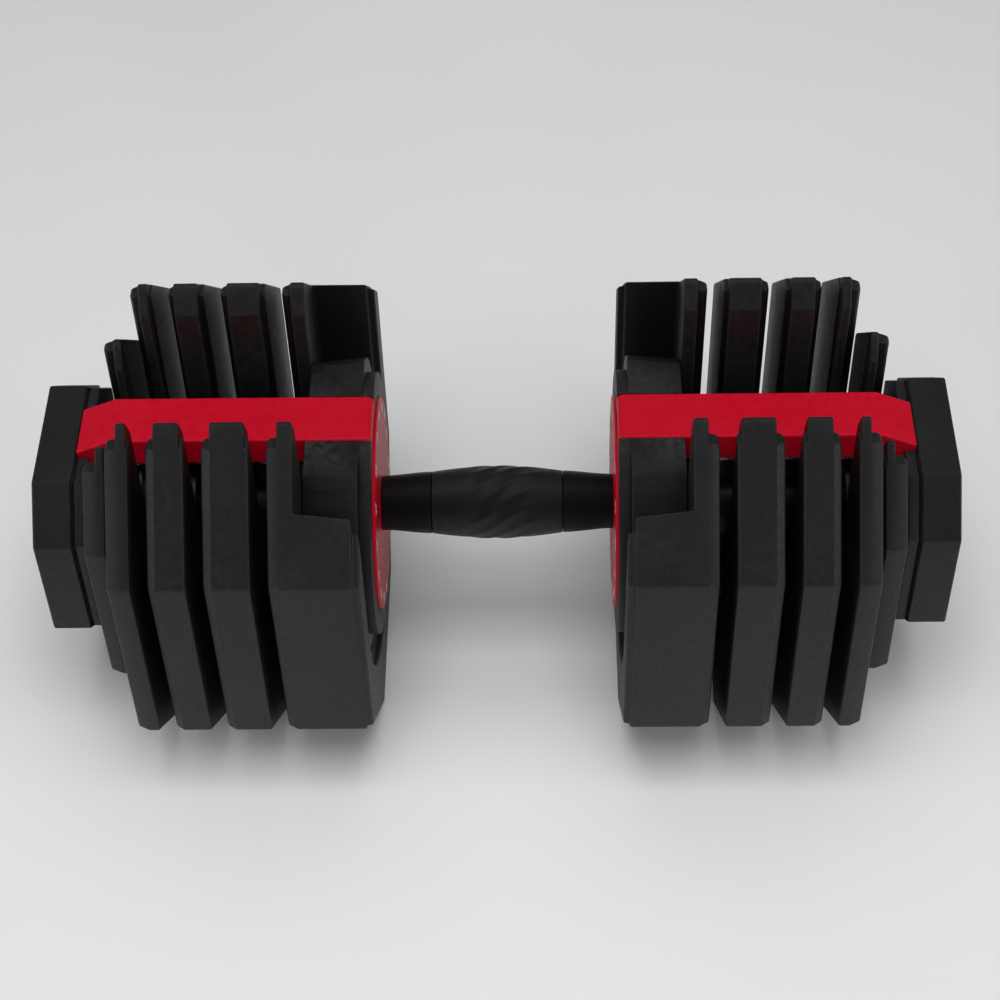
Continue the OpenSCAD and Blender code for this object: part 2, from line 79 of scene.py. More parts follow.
# Plates: the sizes that their boxes don't show; the tab is the thinner edge round the slot
PLATE_LEG = 54 * MM
SMALL_LEG = 36.4 * MM
SLOT_R = 38 * MM
SMALL_SLOT_R = 28 * MM
TAB_W = 8.9 * MM
TAB_IN = (0, 1.8 * MM, 2 * MM, 0.7 * MM, 0.5 * MM)
TAB_OUT = (5 * MM, 4.1 * MM, 3.8 * MM, 5.4 * MM, 6.4 * MM)
MOUTH_FLARE = 7 * MM
MOUTH_H = 14 * MM
COVER_WALL = 2 * MM
RUNNING_GAP = 0.5 * MM
BLOCK_LIP_T = 3.5 * MM
BLOCK_GAP = 4.8 * MM
BLOCK_LIP_STEP = 3.8 * MM
DRUM_TAPER = 2.1 * MM
TIP_R = 2.6 * MM
CORNER_R = 3 * MM
CHAMFER = 2.2 * MM
SHOULDER_DROP = 3 * MM
LIP_SETBACK = 1.5 * MM
LIP_CHAMFER = 0.6 * MM
LIP_SETBACK_T = 0.4 * MM
PLATE_EDGE = 1 * MM
SLOT_STEPS = 40
BLOCK_STEPS = 56

# Dial, grip and handle
BORE_R = 8.3 * MM
DIAL_T = 2.5 * MM
DIAL_HUB_R = 11.08 * MM
DIAL_EDGE = 0.9 * MM
DIAL_STEPS = 160
NUMBER_R = 47.2 * MM
NUMBER_SIZE = 6.4 * MM
INK_T = 0.2 * MM
STATION_KG = (7, 8, 10, 11, 12, 13, 14, 15, 17, 18, 20, 22, 23, 24, 27, 29)
TUBE_END_R = 13.6 * MM
TUBE_STEPS = 128
GRIP_SEAT_R = 13.25 * MM
GRIP_GAP = 0.15 * MM
SEAT_GAP = 0.05 * MM
HANDLE_EDGE = 0.5 * MM
GRIP_STEPS = 240
GRIP_RINGS = 72
RIDGES = 12
RIDGE_H = 0.55 * MM
RIDGE_CENTRE = 3 * MM
RIDGE_REACH = 17 * MM
GROOVE_SHARE = 0.35
SWIRL = 0.75
SWIRL_REACH = 16 * MM

# Bridge cover
BRIDGE_WALL = 2.2 * MM
BRIDGE_SLOPE = 17.2 * MM
BRIDGE_DROP = 7.5 * MM
NOSE_T = 8 * MM
NOSE_R = 3 * MM
NOSE_FOOT_R = 1 * MM
BRIDGE_EDGE = 1 * MM

# End weight
END_LEG = 22.4 * MM
END_WALL = 2.5 * MM
END_CORNER_R = 2.4 * MM
END_EDGE = 1.8 * MM

# Edges of the pieces that keep the frame's own shape
HOUSING_EDGE = 0.5 * MM
DRUM_COVER_EDGE = 0.3 * MM
BACKING_EDGE = 0.8 * MM

# Stage
FLOOR_REACH = 4.0
ROOM_LIGHT = 0.22


# ---------- Outlines in the Y-Z plane ----------

def arc(centre, radius, start, end, steps):
    """Points of an arc, both ends included; its angles are in degrees."""
    turns = [math.radians(start + (end - start) * i / steps) for i in range(steps + 1)]
    return [(centre[0] + radius * math.cos(a), centre[1] + radius * math.sin(a)) for a in turns]


def eased(before, corner, after, radius):
    """The arc that rounds one corner of an outline, in steps of at most 15 degrees."""
    longest_step = 15
    corner = Vector(corner)
    back = (Vector(before) - corner).normalized()
    on = (Vector(after) - corner).normalized()
    half = back.angle(on) / 2
    centre = corner + (back + on).normalized() * radius / math.sin(half)
    first = corner + back * radius / math.tan(half) - centre
    last = corner + on * radius / math.tan(half) - centre
    start, end = (math.degrees(math.atan2(p.y, p.x)) for p in (first, last))
    swing = (end - start + 180) % 360 - 180
    return arc(centre, radius, start, start + swing, math.ceil(abs(swing) / longest_step))


def rounded(corners, radii):
    """An outline's points: a corner with a radius becomes an arc."""
    points = []
    for i, (corner, radius) in enumerate(zip(corners, radii)):
        if radius:
            points += eased(corners[i - 1], corner, corners[(i + 1) % len(corners)], radius)
        else:
            points.append(corner)
    return points


def across(points):
    """The same points on the other side of the X-Z plane, in the opposite order."""
    return [(-y, z) for y, z in reversed(points)]


class Outline:
    """Named runs of points that the faces of a sheet share."""

    def __init__(self):
        self.points = []
        self.runs = {}

    def add(self, name, points):
        self.runs[name] = range(len(self.points), len(self.points) + len(points))
        self.points += points

    def add_pair(self, name, points):
        self.add(name + "_right", points)
        self.add(name + "_left", across(points))

    def face(self, *names):
        """Places of the runs, one after another; a minus sign turns a run round."""
        places = []
        for name in names:
            run = list(self.runs[name.lstrip("-")])
            places += run[::-1] if name.startswith("-") else run
        return places


# ---------- Stepped solids, raised from a sheet across X ----------

def sheet(outline, faces, x):
    """A flat sheet at x with one face for each named region."""
    bm = bmesh.new()
    spot = bm.verts.layers.int.new("spot")
    region = bm.faces.layers.int.new("region")
    used = sorted({place for places in faces.values() for place in places})
    verts = {}
    for place in used:
        y, z = outline.points[place]
        verts[place] = bm.verts.new((x, y, z))
        verts[place][spot] = place
    for i, places in enumerate(faces.values()):
        bm.faces.new([verts[place] for place in places])[region] = i
    return bm


def only(bm, faces, regions, wanted):
    """The faces that belong to the wanted regions."""
    region = bm.faces.layers.int["region"]
    names = list(regions)
    return [f for f in faces if names[f[region]] in wanted]


def raised(bm, faces, x, outline, first=False):
    """Extrudes faces to x, moves their corners onto the outline there, and returns the new faces."""
    grown = bmesh.ops.extrude_face_region(bm, geom=faces)["geom"]
    if not first:
        bmesh.ops.delete(bm, geom=faces, context="FACES_ONLY")
    spot = bm.verts.layers.int["spot"]
    for vert in (g for g in grown if isinstance(g, bmesh.types.BMVert)):
        y, z = outline.points[vert[spot]]
        vert.co = (x, y, z)
    return [g for g in grown if isinstance(g, bmesh.types.BMFace)]


def closed(bm, joined=True):
    """Drops loose edges, joins coplanar faces unless told not to, and turns every face outwards."""
    bmesh.ops.delete(bm, geom=[edge for edge in bm.edges if not edge.link_faces], context="EDGES")
    bmesh.ops.remove_doubles(bm, verts=bm.verts, dist=SAME_PLACE)
    if joined:
        bmesh.ops.dissolve_limit(
            bm, angle_limit=math.radians(0.5), use_dissolve_boundaries=False, verts=bm.verts, edges=bm.edges
        )
    bmesh.ops.recalc_face_normals(bm, faces=bm.faces)
    return bm


def turned(profile, steps):
    """Turns a closed profile of (radius, x) points about the X axis, in so many steps."""
    bm = bmesh.new()
    verts = [bm.verts.new((x, 0, r)) for r, x in profile]
    edges = [bm.edges.new(pair) for pair in zip(verts, verts[1:] + verts[:1])]
    bmesh.ops.spin(
        bm, geom=verts + edges, cent=(0, 0, 0), axis=(1, 0, 0), dvec=(0, 0, 0),
        angle=2 * math.pi, steps=steps, use_merge=True, use_duplicate=False
    )
    bmesh.ops.remove_doubles(bm, verts=bm.verts, dist=SAME_PLACE)
    bmesh.ops.recalc_face_normals(bm, faces=bm.faces)
    return bm


def on_side(bm, side):
    """A right-hand piece as it is, or turned into its left-hand copy."""
    if side == "left":
        bmesh.ops.scale(bm, vec=(-1, 1, 1), verts=bm.verts)
        bmesh.ops.reverse_faces(bm, faces=bm.faces)
    return bm


# ---------- Finishing a piece ----------

def edge_room(edge):
    """Length of the shortest edge that leaves this one's ends across it: the room for its bevel."""
    crosses = math.cos(math.radians(30))
    along = (edge.verts[1].co - edge.verts[0].co).normalized()
    spans = []
    for loop in edge.link_loops:
        for other in (loop.link_loop_prev.edge, loop.link_loop_next.edge):
            way = other.verts[1].co - other.verts[0].co
            if way.length > 0 and abs(along.dot(way.normalized())) < crosses:
                spans.append(way.length)
    return min(spans, default=1)


def mark_edges(bm, width):
    """Sets how much of the bevel's width a sharp edge has room for, and keeps slighter creases crisp."""
    share = 0.45
    weight = bm.edges.layers.float.new("bevel_weight_edge")
    for edge in bm.edges:
        turn = edge.calc_face_angle() if len(edge.link_faces) == 2 else 0
        if turn > ROUNDED_OVER:
            edge[weight] = min(1, share * edge_room(edge) / width)
        edge.smooth = turn < CRISP_OVER or turn > ROUNDED_OVER


def piece(bm, name, width=0.0):
    """Turns a bmesh into an object with rounded edges."""
    if "spot" in bm.verts.layers.int:
        bm.verts.layers.int.remove(bm.verts.layers.int["spot"])
        bm.faces.layers.int.remove(bm.faces.layers.int["region"])
    for face in bm.faces:
        face.smooth = True
    mesh = bpy.data.meshes.new(name)
    bm.to_mesh(mesh)
    bm.free()
    obj = bpy.data.objects.new(name, mesh)
    bpy.context.scene.collection.objects.link(obj)
    if width:
        bevel = obj.modifiers.new("rounded edges", "BEVEL")
        bevel.limit_method = "WEIGHT"
        bevel.width = width
        bevel.segments = EDGE_SEGMENTS
        bevel.use_clamp_overlap = False
        bevel.harden_normals = True
    return obj


def stand_for(obj, node):
    """Gives a piece the body, the slot and the finish of the CAD node that it replaces."""
    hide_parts(node)
    obj.data.materials.append(finish_of(SLOT_OF[node]))
    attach(obj, BODY_OF[node])


def softened(node, width):
    """The CAD node's own shape, with its sharp edges rounded."""
    bm = bmesh.new()
    bm.from_mesh(frame["nodes"][node].data)
    closed(bm)
    mark_edges(bm, width)
    stand_for(piece(bm, node + "_finished", width), node)


# ---------- Camera ----------

def make_camera():
    """Looks down on the dumbbell from in front."""
    at = (0.0230, -0.7501, 0.8489)
    down, yaw, roll = (math.radians(a) for a in (48.478, -1.661, -1.724))
    ahead = Vector((math.sin(yaw) * math.cos(down), math.cos(yaw) * math.cos(down), -math.sin(down)))
    right = ahead.cross(Vector((0, 0, 1))).normalized()
    up = right.cross(ahead)
    level = right * math.cos(roll) + up * math.sin(roll)
    upright = up * math.cos(roll) - right * math.sin(roll)
    data = bpy.data.cameras.new("camera")
    data.sensor_width = 36
    data.lens = 81.54
    camera = bpy.data.objects.new("camera", data)
    turn = Matrix((level, upright, -ahead)).transposed().to_4x4()
    camera.matrix_world = Matrix.Translation(at) @ turn
    bpy.context.scene.collection.objects.link(camera)
    bpy.context.scene.camera = camera


# ---------- Materials ----------

class Finish:
    """A material under construction: one Principled shader, and nodes on Object coordinates."""

    def __init__(self, name, **values):
        self.material = bpy.data.materials.new(name)
        self.material.use_nodes = True
        self.tree = self.material.node_tree
        self.shader = self.tree.nodes["Principled BSDF"]
        for socket, value in values.items():
            self.shader.inputs[socket.replace("_", " ")].default_value = value
        self.place = self.node("ShaderNodeTexCoord").outputs["Object"]

    def node(self, kind, inputs=None, **settings):
        """Adds a node; an input is a value, or the output that feeds it."""
        made = self.tree.nodes.new(kind)
        for key, value in settings.items():
            setattr(made, key, value)
        for key, value in (inputs or {}).items():
            if isinstance(value, bpy.types.NodeSocket):
                self.tree.links.new(value, made.inputs[key])
            else:
                made.inputs[key].default_value = value
        return made

    def link(self, output, socket):
        """Feeds one of the shader's sockets."""
        self.tree.links.new(output, self.shader.inputs[socket])

    def noise(self, scale, detail=2.0, stretch=(1, 1, 1), roughness=0.5):
        """Noise whose grains are about 1/scale metres across."""
        where = self.place
        if stretch != (1, 1, 1):
            where = self.node("ShaderNodeMapping", {"Vector": where, "Scale": stretch}).outputs["Vector"]
        inputs = {"Vector": where, "Scale": scale, "Detail": detail, "Roughness": roughness}
        return self.node("ShaderNodeTexNoise", inputs).outputs["Fac"]

    def spread(self, value, low, high, out_low=0.0, out_high=1.0):
        """Stretches a value from one range to another."""
        inputs = {"Value": value, "From Min": low, "From Max": high, "To Min": out_low, "To Max": out_high}
        return self.node("ShaderNodeMapRange", inputs).outputs["Result"]

    def blend(self, factor, first, second):
        """Mixes two colours."""
        mix = self.node("ShaderNodeMix", data_type="RGBA")
        for socket, value in zip((0, 6, 7), (factor, first, second)):
            if isinstance(value, bpy.types.NodeSocket):
                self.tree.links.new(value, mix.inputs[socket])
            else:
                mix.inputs[socket].default_value = value
        return mix.outputs[2]

    def math(self, operation, first, second):
        """Works out one value from two."""
        made = self.node("ShaderNodeMath", operation=operation)
        for i, value in enumerate((first, second)):
            if isinstance(value, bpy.types.NodeSocket):
                self.tree.links.new(value, made.inputs[i])
            else:
                made.inputs[i].default_value = value
        return made.outputs[0]

    def bump(self, height, distance, strength=1.0):
        """Relief, distance metres deep at full strength."""
        inputs = {"Height": height, "Distance": distance, "Strength": strength}
        return self.node("ShaderNodeBump", inputs).outputs["Normal"]

    def worn_edges(self):
        """Painted highlight along rounded edges, partly wear: one there, nothing on flat walls, broken up
        by scuffs.
        """
        edge = self.spread(self.node("ShaderNodeNewGeometry").outputs["Pointiness"], 0.52, 0.62)
        scuffs = self.spread(self.noise(260, 4), 0.35, 0.7)
        return self.math("MULTIPLY", edge, scuffs)


def grey(value):
    return (value, value, value, 1)


def black_plastic():
    """Moulded black plastic with a fine spark-eroded grain."""
    f = Finish("black_plastic", IOR=1.45, Specular_IOR_Level=0.38)
    cloud = f.spread(f.noise(35, 3), 0.3, 0.7)
    base = f.blend(cloud, grey(0.0045), grey(0.0075))
    # Edges lighter: a painted highlight, partly wear.
    f.link(f.blend(f.worn_edges(), base, grey(0.03)), "Base Color")
    f.link(f.spread(f.noise(600, 3), 0.3, 0.7, 0.46, 0.6), "Roughness")
    f.link(f.bump(f.noise(2600, 3, roughness=0.65), 0.00012, 0.55), "Normal")
    return f.material


def red_plastic():
    """Glossier red plastic of the dials and the bridge covers."""
    f = Finish("red_plastic", IOR=1.46, Specular_IOR_Level=0.15)
    cloud = f.spread(f.noise(40, 3), 0.3, 0.7)
    base = f.blend(cloud, (0.42, 0.0006, 0.012, 1), (0.46, 0.0009, 0.014, 1))
    # Edges a lighter red: a painted highlight, partly wear.
    f.link(f.blend(f.worn_edges(), base, (0.55, 0.02, 0.04, 1)), "Base Color")
    f.link(f.spread(f.noise(500, 3), 0.3, 0.7, 0.36, 0.46), "Roughness")
    f.link(f.bump(f.noise(2200, 2), 0.00006, 0.4), "Normal")
    return f.material


def grip_rubber():
    """Satin rubber of the moulded grip."""
    f = Finish("grip_rubber", IOR=1.47, Specular_IOR_Level=0.35)
    f.link(f.blend(f.spread(f.noise(60, 3), 0.3, 0.7), grey(0.003), grey(0.006)), "Base Color")
    f.link(f.spread(f.noise(300, 3), 0.3, 0.7, 0.42, 0.56), "Roughness")
    f.link(f.bump(f.noise(3200, 2), 0.00008, 0.5), "Normal")
    return f.material


def satin_tube():
    """Powder-coated tube under the grip."""
    f = Finish("black_satin_tube", IOR=1.45, Specular_IOR_Level=0.14)
    f.link(f.blend(f.spread(f.noise(50, 2), 0.3, 0.7), grey(0.002), grey(0.004)), "Base Color")
    f.link(f.spread(f.noise(400, 2), 0.3, 0.7, 0.36, 0.5), "Roughness")
    f.link(f.bump(f.noise(1400, 2), 0.00008, 0.35), "Normal")
    return f.material


def turned_steel(name, dark, light, smooth, rough, stretch):
    """Steel with tool marks that run round the handle's axis."""
    f = Finish(name, Metallic=1.0)
    marks = f.noise(90, 5, stretch=stretch, roughness=0.7)
    f.link(f.blend(f.spread(marks, 0.3, 0.7), dark, light), "Base Color")
    f.link(f.spread(f.noise(140, 3), 0.3, 0.7, smooth, rough), "Roughness")
    f.link(f.bump(marks, 0.00006, 0.5), "Normal")
    return f.material


def black_steel():
    """Black-oxide steel of the selector discs."""
    return turned_steel("black_steel", grey(0.035), grey(0.075), 0.32, 0.48, (14, 1, 1))


def bare_steel():
    """Turned steel of the shaft, the index wheels and the beams."""
    return turned_steel("bare_steel", grey(0.42), grey(0.58), 0.22, 0.38, (18, 1, 1))


def zinc_steel():
    """Zinc-plated nuts, screws and sliders."""
    f = Finish("zinc_steel", Metallic=1.0)
    spangle = f.node("ShaderNodeTexVoronoi", {"Vector": f.place, "Scale": 700.0}).outputs["Distance"]
    f.link(f.blend(f.spread(spangle, 0.1, 0.8), grey(0.5), (0.66, 0.67, 0.7, 1)), "Base Color")
    f.link(f.spread(f.noise(220, 3), 0.3, 0.7, 0.26, 0.42), "Roughness")
    f.link(f.bump(f.noise(900, 3), 0.00005, 0.4), "Normal")
    return f.material


def spring_steel():
    """Drawn wire of the springs."""
    f = Finish("spring_steel", Metallic=1.0)
    f.link(f.blend(f.spread(f.noise(800, 3), 0.3, 0.7), grey(0.3), grey(0.5)), "Base Color")
    f.link(f.spread(f.noise(500, 2), 0.3, 0.7, 0.22, 0.36), "Roughness")
    f.link(f.bump(f.noise(1500, 2), 0.00003, 0.4), "Normal")
    return f.material


def cast_iron():
    """Rough grey iron inside the plates and the end weights."""
    f = Finish("cast_iron", Metallic=0.75)
    f.link(f.blend(f.spread(f.noise(250, 5), 0.3, 0.7), grey(0.05), grey(0.12)), "Base Color")
    f.link(f.spread(f.noise(180, 3), 0.3, 0.7, 0.55, 0.75), "Roughness")
    f.link(f.bump(f.noise(700, 6, roughness=0.7), 0.0003, 0.7), "Normal")
    return f.material


def bronze():
    """Sintered bronze bushes."""
    f = Finish("bronze", Metallic=1.0)
    cloud = f.spread(f.noise(900, 4), 0.3, 0.7)
    f.link(f.blend(cloud, (0.40, 0.24, 0.09, 1), (0.62, 0.40, 0.18, 1)), "Base Color")
    f.link(f.spread(f.noise(300, 3), 0.3, 0.7, 0.3, 0.46), "Roughness")
    f.link(f.bump(f.noise(1800, 3), 0.00006, 0.5), "Normal")
    return f.material


def silver_ink():
    """Grey ink of the dial's numbers."""
    f = Finish("silver_ink")
    f.link(f.blend(f.spread(f.noise(900, 3), 0.3, 0.7), grey(0.55), grey(0.68)), "Base Color")
    f.link(f.spread(f.noise(700, 2), 0.3, 0.7, 0.38, 0.52), "Roughness")
    f.link(f.bump(f.noise(2400, 2), 0.00002, 0.4), "Normal")
    return f.material


def pale_floor():
    """Matt studio floor."""
    f = Finish("pale_floor", IOR=1.3)
    f.link(f.blend(f.spread(f.noise(3, 2), 0.3, 0.7), grey(0.74), grey(0.78)), "Base Color")
    f.link(f.spread(f.noise(8, 2), 0.3, 0.7, 0.85, 0.95), "Roughness")
    return f.material


MAKERS = {
    "black_plastic": black_plastic, "red_plastic": red_plastic, "grip_rubber": grip_rubber,
    "black_satin_tube": satin_tube, "black_steel": black_steel, "bare_steel": bare_steel,
    "zinc_steel": zinc_steel, "spring_steel": spring_steel, "cast_iron": cast_iron, "bronze": bronze,
}
finishes = {}


def finish_of(slot):
    """The material of a slot, made once."""
    if slot not in finishes:
        finishes[slot] = MAKERS[slot]()
    return finishes[slot]


def finish_cad_nodes():
    """Gives every CAD node the material of its slot."""
    for name, obj in frame["nodes"].items():
        obj.data.materials.clear()
        obj.data.materials.append(finish_of(SLOT_OF[name]))


# ---------- Plates ----------

def plate_sizes(k):
    """Half width, half height, corner cut and slot radius of a plate."""
    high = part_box(f"plate_cover_{k}_right")[1]
    leg, slot = (SMALL_LEG, SMALL_SLOT_R) if k == 5 else (PLATE_LEG, SLOT_R)
    return high.y, high.z, leg, slot


def plate_levels(k):
    """Places along X of a plate's inner face, its tab's two faces and its outer face.

    Plate 1's box starts at its block, so its inner face is found from the drum.
    """
    low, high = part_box(f"plate_cover_{k}_right")
    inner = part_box("drum_housing_right")[1].x + RUNNING_GAP if k == 1 else low.x
    return inner, inner + TAB_IN[k - 1], high.x - TAB_OUT[k - 1], high.x


def plate_outline(k, g, drop=0.0, inset=0.0, wall=0.0, lip=0.0):
    """Plate k's outline with every wall moved in by g: slot, tips, ledge and rim.

    The ledge and the shoulders are lowered by drop, and the rim is drawn in by inset.
    Plate 1 also has the wall round the drum, and the edge of its lip: both are given as radii.
    """
    half_w, half_h, leg, slot = plate_sizes(k)
    facet = half_w + half_h - leg - (g + inset) * math.sqrt(2)
    side, foot = half_w - g - inset, half_h - g - inset
    shoulder, ledge_r = half_h - TAB_W - g - drop, slot + TAB_W + g + drop
    mouth = (slot + g, half_h - MOUTH_H)
    rise = (facet - slot - g - mouth[1]) / (MOUTH_FLARE + MOUTH_H)
    tip = (mouth[0] + MOUTH_FLARE * rise, mouth[1] + MOUTH_H * rise)
    brow = (facet - shoulder, shoulder)
    rim = [brow, (side, facet - side), (side, side - facet), (facet - foot, -foot), (0, -foot)]
    out = Outline()
    out.add("slot", [(-mouth[0], mouth[1])] + arc((0, 0), slot + g, 180, 360, SLOT_STEPS) + [mouth])
    out.add_pair("tip", eased(mouth, tip, brow, TIP_R))
    out.add_pair("brow", [brow])
    out.add_pair("ledge_top", [(ledge_r, shoulder)])
    out.add("ledge", arc((0, 0), ledge_r, 180, 360, SLOT_STEPS))
    out.add_pair("rim", rounded(rim, (0, CORNER_R, CORNER_R, CORNER_R, 0))[1:-1])
    if wall:
        out.add_pair("wall_top", [(wall, facet - wall)])
        out.add("wall", arc((0, 0), wall, 180, 360, BLOCK_STEPS))
        out.add_pair("lip_top", [(lip, facet - lip)])
        out.add("lip", arc((0, 0), lip, 180, 360, BLOCK_STEPS))
    return out


def plate_faces(out, k):
    """The regions of a plate: its tab, its body, and plate 1's block and lip."""
    to_ledge = ("ledge_top_left", "ledge", "ledge_top_right", "brow_right")
    faces = {"tab": out.face("slot", "tip_right", "brow_right", "ledge_top_right", "-ledge",
                             "ledge_top_left", "brow_left", "tip_left")}
    if k == 1:
        faces["body"] = out.face(*to_ledge, "wall_top_right", "-wall", "wall_top_left", "brow_left")
        faces["block"] = out.face("wall_top_left", "wall", "wall_top_right",
                                  "lip_top_right", "-lip", "lip_top_left")
        faces["lip"] = out.face("lip_top_left", "lip", "lip_top_right", "rim_right", "rim_left")
    else:
        faces["body"] = out.face(*to_ledge, "rim_right", "rim_left", "brow_left")
    return faces


def shoulder_steps(start, end):
    """Steps of the end-side shoulder: places along X, and how far the ledge and the rim have moved in."""
    flat_share = 0.45
    bend = start + flat_share * (end - start)
    angles = [math.radians(a) for a in (30, 60, 90)]
    curve = [(bend, 0)]
    curve += [(bend + (end - bend) * math.sin(a), SHOULDER_DROP * (1 - math.cos(a))) for a in angles]
    return [(x, drop, CHAMFER * (x - start) / (end - start)) for x, drop in curve]


def plate_solid(k, g, shaped):
    """A plate with its walls moved in by g, raised in steps from a sheet at its tab's inner face.

    The shaped one has its shoulder, chamfer and set-back lip; the plain one is for the hollow inside.
    """
    inner, tab_in, tab_out, outer = plate_levels(k)
    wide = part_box("drum_housing_right")[1].y + BLOCK_GAP + g if k == 1 else 0.0
    walls = (wide - DRUM_TAPER, wide + BLOCK_LIP_STEP) if k == 1 else ()
    out = plate_outline(k, g, 0, 0, *walls)
    faces = plate_faces(out, k)
    # A tab that is too thin to be hollow is left out, and the sheet then lies at the inner face
    if tab_out - tab_in - 2 * g < MM:
        faces.pop("tab")
        tab_in = inner
    thick = [name for name in faces if name != "tab"]
    bm = sheet(out, faces, tab_in + g)
    base = list(bm.faces)
    if shaped:
        top = only(bm, raised(bm, base, tab_out, out, first=True), faces, thick)
        for x, drop, inset in shoulder_steps(tab_out, outer):
            top = raised(bm, top, x, plate_outline(k, g, drop, inset, *walls))
    else:
        top = raised(bm, base, tab_out - g if "tab" in faces else outer - g, out, first=True)
        if "tab" in faces:
            raised(bm, only(bm, top, faces, thick), outer - g, out)
    if tab_in > inner:
        raised(bm, only(bm, base, faces, thick), inner + g, out)
    if k == 1:
        raise_block(bm, base, faces, g, wide, shaped)
    return closed(bm)


def raise_block(bm, base, faces, g, wide, shaped):
    """Raises plate 1's block round the drum and its set-back lip, towards the dial."""
    lip_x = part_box("plate_cover_1_right")[0].x + g
    walls = (wide, wide + BLOCK_LIP_STEP)
    setback = LIP_SETBACK if shaped else 0.0
    block_x = lip_x + BLOCK_LIP_T
    block = raised(bm, only(bm, base, faces, ("block", "lip")), block_x, plate_outline(1, g, 0, 0, *walls))
    lip = only(bm, block, faces, ("lip",))
    if shaped:
        lip = raised(bm, lip, block_x - LIP_SETBACK_T, plate_outline(1, g, 0, setback, *walls))
        setback += LIP_CHAMFER
    raised(bm, lip, lip_x, plate_outline(1, g, 0, setback, *walls))


def plate_cover(k, side):
    """A plate's moulded cover: a shell round its iron core."""
    bm = plate_solid(k, 0.0, True)
    mark_edges(bm, PLATE_EDGE)
    hollow = plate_solid(k, COVER_WALL, False)
    bmesh.ops.reverse_faces(hollow, faces=hollow.faces)
    inside = bpy.data.meshes.new("inside")
    hollow.to_mesh(inside)
    hollow.free()
    bm.from_mesh(inside)
    bpy.data.meshes.remove(inside)
    stand_for(piece(on_side(bm, side), f"plate_shell_{k}_{side}", PLATE_EDGE), f"plate_cover_{k}_{side}")


# ---------- Dials ----------

def dial(side):
    """Numbered dial: a thin disc with a hub, turned."""
    low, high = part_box("dial_right")
    back = low.x + DIAL_T
    bm = turned([
        (BORE_R, low.x), (high.y, low.x), (high.y, back),
        (DIAL_HUB_R, back), (DIAL_HUB_R, high.x), (BORE_R, high.x)
    ], DIAL_STEPS)
    mark_edges(bm, DIAL_EDGE)
    stand_for(piece(on_side(bm, side), f"dial_disc_{side}", DIAL_EDGE), f"dial_{side}")


def number_mesh(value):
    """A number as a flat mesh with a little thickness, centred on its origin and facing +Z."""
    curve = bpy.data.curves.new("number", "FONT")
    curve.body = str(value)
    curve.size = NUMBER_SIZE
    curve.align_x, curve.align_y = "CENTER", "CENTER"
    curve.extrude = INK_T / 2
    curve.resolution_u = 4
    text = bpy.data.objects.new("number", curve)
    bpy.context.scene.collection.objects.link(text)
    bpy.context.view_layer.update()
    mesh = bpy.data.meshes.new_from_object(text.evaluated_get(bpy.context.evaluated_depsgraph_get()))
    bpy.data.objects.remove(text)
    bpy.data.curves.remove(curve)
    return mesh


def dial_numbers(side):
    """The ring of numbers on a dial: the weight in kilograms at each station."""
    low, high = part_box(f"dial_{side}")
    face_x, out = (high.x, Vector((1, 0, 0))) if side == "left" else (low.x, Vector((-1, 0, 0)))
    bm = bmesh.new()
    for i, value in enumerate(STATION_KG):
        turn = math.tau * i / len(STATION_KG)
        up = Vector((0, math.sin(turn), math.cos(turn)))
        place = Matrix((up.cross(out), up, out)).transposed().to_4x4()
        place.translation = Vector((face_x, 0, 0)) + up * NUMBER_R
        mesh = number_mesh(value)
        mesh.transform(place)
        bm.from_mesh(mesh)
        bpy.data.meshes.remove(mesh)
    bmesh.ops.remove_doubles(bm, verts=bm.verts, dist=SAME_PLACE)
    bmesh.ops.recalc_face_normals(bm, faces=bm.faces)
    obj = piece(bm, f"dial_numbers_{side}")
    for polygon in obj.data.polygons:
        polygon.use_smooth = False
    obj.data.materials.append(silver)
    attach(obj, "selector")


# ---------- Handle ----------

def handle_tube():
    """Tube between the dials, with a long shallow seat for the grip."""
    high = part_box("handle_tube")[1]
    grip_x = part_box("grip_sleeve")[1].x + GRIP_GAP
    bulge = []
    for i in range(9):
        t = i / 8
        swell = t * t * (3 - 2 * t)
        bulge.append((TUBE_END_R + (high.y - TUBE_END_R) * swell, high.x + (grip_x - high.x) * t))
    right = [(BORE_R, high.x)] + bulge + [(GRIP_SEAT_R - SEAT_GAP, grip_x)]
    left = [(r, -x) for r, x in reversed(right)]
    bm = turned(right + left, TUBE_STEPS)
    mark_edges(bm, HANDLE_EDGE)
    stand_for(piece(bm, "handle_sleeve", HANDLE_EDGE), "handle_tube")


def grip_ridge(x, turn):
    """Height of the swirling ridges at a place on the grip: narrow crests, and wider shallow grooves."""
    narrowness = 1.6
    fade = math.exp(-((x - RIDGE_CENTRE) / RIDGE_REACH) ** 4)
    twist = SWIRL * math.tanh(x / SWIRL_REACH)
    wave = 0.5 + 0.5 * math.sin(RIDGES * (turn - twist))
    return RIDGE_H * fade * (wave ** narrowness - GROOVE_SHARE)


